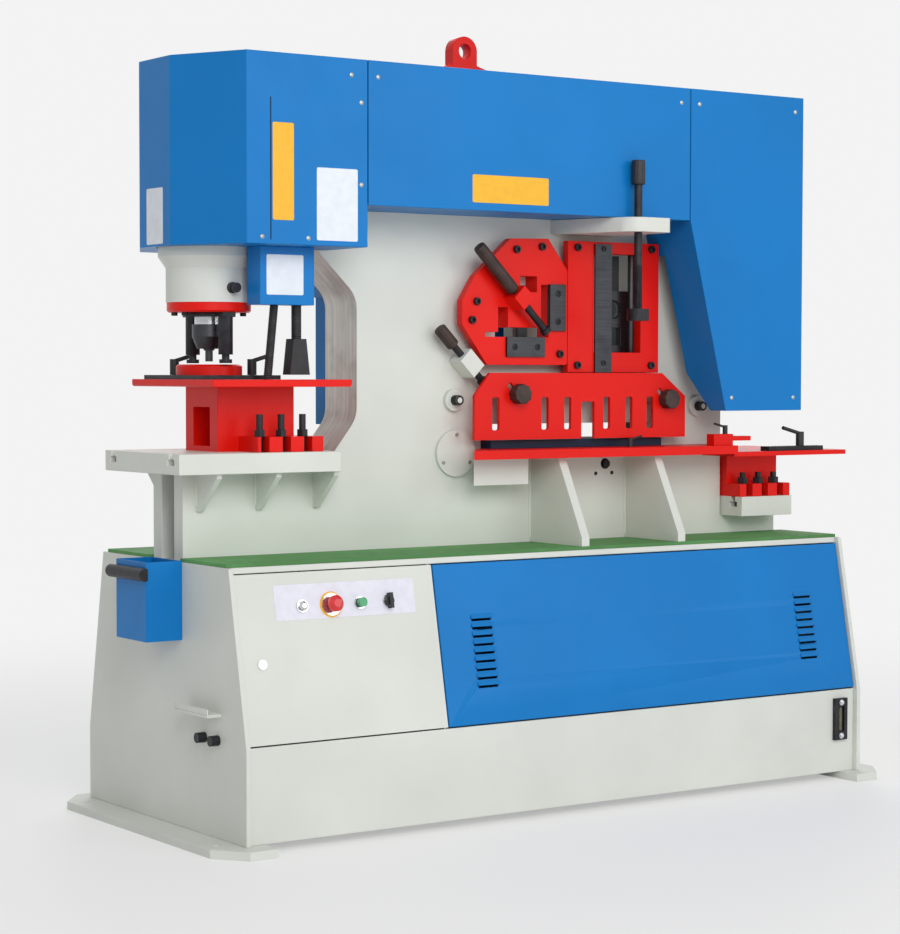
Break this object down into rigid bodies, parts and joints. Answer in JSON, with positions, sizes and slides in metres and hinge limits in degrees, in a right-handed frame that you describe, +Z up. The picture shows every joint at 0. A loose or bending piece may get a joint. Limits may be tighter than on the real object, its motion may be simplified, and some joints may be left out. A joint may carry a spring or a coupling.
{
  "type": "hydraulic ironworker",
  "caption": "Floor-standing hydraulic ironworker with a punching throat, angle, section and flat shears, a notcher and a base cabinet with an electrical door.",
  "frame": {"origin": "on the floor, in the middle of the four anchor bolts", "axes": "+X along the machine to the operator's right, +Y away from the operator, +Z up"},
  "size_m": [2.104, 0.876, 1.917],
  "materials": {
    "white_paint": "semi-gloss off-white machine enamel",
    "blue_paint": "semi-gloss blue machine enamel",
    "red_paint": "semi-gloss red machine enamel",
    "mat_green": "ribbed green rubber matting",
    "bright_steel": "ground bright steel",
    "tool_steel": "dark ground tool steel",
    "black_steel": "blackened steel",
    "dark_bed": "dark blue enamel",
    "black_plastic": "matt black plastic",
    "bezel_metal": "satin chrome",
    "green_plastic": "glossy green plastic",
    "red_plastic": "glossy red plastic",
    "fitting_metal": "plain metal",
    "grey_paint": "grey enamel",
    "zinc_plate": "zinc-plated sheet"
  },
  "bodies": {
    "machine": {"base_cabinet": "white_paint", "end_plates": "white_paint", "foot_rails": "white_paint", "frame_front_plate": "white_paint", "frame_rear_plate": "white_paint", "frame_stiffeners": "white_paint", "punch_cylinder": "white_paint", "slotted_shelf": "white_paint", "pivot_pin": "white_paint", "louvre_panel": "blue_paint", "head_cover": "blue_paint", "middle_cover": "blue_paint", "right_cover": "blue_paint", "rear_cover": "blue_paint", "tool_bin": "blue_paint", "switch_box": "blue_paint", "lifting_lug": "red_paint", "cylinder_flange": "red_paint", "punch_table": "red_paint", "die_holder": "red_paint", "die_pedestal": "red_paint", "angle_housing": "red_paint", "section_frame": "red_paint", "cut_table": "red_paint", "notch_block": "red_paint", "deck_mat": "mat_green", "fixed_blades": "tool_steel", "stripper_fork": "black_steel", "clamp_studs": "black_steel", "flat_bed": "dark_bed", "work_lamp": "black_plastic", "small_fittings": "fitting_metal", "drive_cylinder": "grey_paint", "oil_tank": "grey_paint", "power_pack": "grey_paint", "wiring_panel": "zinc_plate"},
    "punch": {"punch_rod": "bright_steel", "punch_tool": "tool_steel"},
    "shear": {"shear_beam": "tool_steel", "moving_blades": "tool_steel"},
    "drive": {"drive_rod": "bright_steel"},
    "angle_screw": {"angle_clamp": "black_steel"},
    "section_screw": {"section_spindle": "black_steel"},
    "flat_screw": {"flat_clamp": "black_steel"},
    "guard": {"flat_guard": "red_paint"},
    "knob_left": {"guard_knob_left": "black_plastic"},
    "knob_right": {"guard_knob_right": "black_plastic"},
    "gauge": {"gauge_plate": "black_steel"},
    "gauge_left": {"gauge_lever_left": "black_plastic"},
    "gauge_right": {"gauge_lever_right": "black_plastic"},
    "stop_arm": {"stop_lever": "black_plastic"},
    "fence": {"notch_fence": "black_steel"},
    "fence_arm": {"notch_lever": "black_plastic"},
    "clamp_arm": {"clamp_lever": "black_plastic"},
    "door": {"electric_door": "white_paint", "button_bezels": "bezel_metal"},
    "lock": {"door_lock": "bezel_metal"},
    "start": {"start_button": "green_plastic"},
    "stop": {"stop_button": "red_plastic"},
    "selector": {"selector_switch": "black_plastic"}
  },
  "joints": [
    {"name": "punch_stroke", "type": "slide", "parent": "machine", "child": "punch", "axis": [0, 0, -1], "range_m": [-0.022, 0.03]},
    {"name": "shear_stroke", "type": "hinge", "parent": "machine", "child": "shear", "pos_m": [-0.158, 0, 0.874], "axis": [0, 1, 0], "range_deg": [0, 4.5]},
    {"name": "drive_stroke", "type": "slide", "parent": "machine", "child": "drive", "axis": [0, 0, -1], "range_m": [0, 0.064]},
    {"name": "angle_clamp_feed", "type": "slide", "parent": "machine", "child": "angle_screw", "axis": [0.7071, 0, -0.7071], "range_m": [-0.07, 0.003]},
    {"name": "section_clamp_feed", "type": "slide", "parent": "machine", "child": "section_screw", "axis": [0, 0, -1], "range_m": [-0.04, 0.08]},
    {"name": "flat_clamp_feed", "type": "slide", "parent": "machine", "child": "flat_screw", "axis": [0.7071, 0, -0.7071], "range_m": [-0.02, 0.025]},
    {"name": "guard_adjust", "type": "slide", "parent": "machine", "child": "guard", "axis": [-0.7071, 0, 0.7071], "range_m": [-0.022, 0.012]},
    {"name": "knob_left_turn", "type": "hinge", "parent": "machine", "child": "knob_left", "pos_m": [-0.014, -0.156, 1.021], "axis": [0, 1, 0], "range_deg": [-180, 180]},
    {"name": "knob_right_turn", "type": "hinge", "parent": "machine", "child": "knob_right", "pos_m": [0.468, -0.156, 1.006], "axis": [0, 1, 0], "range_deg": [-180, 180]},
    {"name": "gauge_adjust", "type": "slide", "parent": "machine", "child": "gauge", "axis": [0, 1, 0], "range_m": [-0.014, 0.014]},
    {"name": "gauge_lever_left_turn", "type": "hinge", "parent": "gauge", "child": "gauge_left", "pos_m": [-0.836, 0.126, 1.068], "axis": [0, 0, 1], "range_deg": [0, 80]},
    {"name": "gauge_lever_right_turn", "type": "hinge", "parent": "gauge", "child": "gauge_right", "pos_m": [-0.712, -0.03, 1.068], "axis": [0, 0, 1], "range_deg": [-45, 60]},
    {"name": "stop_lever_turn", "type": "hinge", "parent": "machine", "child": "stop_arm", "pos_m": [0.33, -0.165, 0.884], "axis": [0, 0, 1], "range_deg": [-60, 15]},
    {"name": "fence_adjust", "type": "slide", "parent": "machine", "child": "fence", "axis": [0, 1, 0], "range_m": [-0.01, 0.025]},
    {"name": "fence_lever_turn", "type": "hinge", "parent": "fence", "child": "fence_arm", "pos_m": [0.911, -0.175, 0.878], "axis": [0, 0, 1], "range_deg": [-60, 60]},
    {"name": "clamp_lever_turn", "type": "hinge", "parent": "machine", "child": "clamp_arm", "pos_m": [0.628, -0.193, 0.914], "axis": [0, 0, 1], "range_deg": [-45, 45]},
    {"name": "door_swing", "type": "hinge", "parent": "machine", "child": "door", "pos_m": [-0.392, -0.33736, 0.43], "axis": [0, 0.1938, 0.981], "range_deg": [0, 110]},
    {"name": "lock_turn", "type": "hinge", "parent": "door", "child": "lock", "pos_m": [-0.869, -0.34586, 0.41944], "axis": [0, -0.981, 0.1938], "range_deg": [0, 90]},
    {"name": "start_press", "type": "slide", "parent": "door", "child": "start", "axis": [0, 0.981, -0.1938], "range_m": [0, 0.004], "stiffness_N_per_m": 300, "springref_m": -0.005},
    {"name": "stop_press", "type": "slide", "parent": "door", "child": "stop", "axis": [0, 0.981, -0.1938], "range_m": [0, 0.006], "stiffness_N_per_m": 500, "springref_m": -0.005},
    {"name": "selector_turn", "type": "hinge", "parent": "door", "child": "selector", "pos_m": [-0.517, -0.32636, 0.54402], "axis": [0, -0.981, 0.1938], "range_deg": [-45, 45]}
  ],
  "couplings": [
    {"joint": "drive_stroke", "follows": "shear_stroke", "m_per_rad": 0.81}
  ]
}
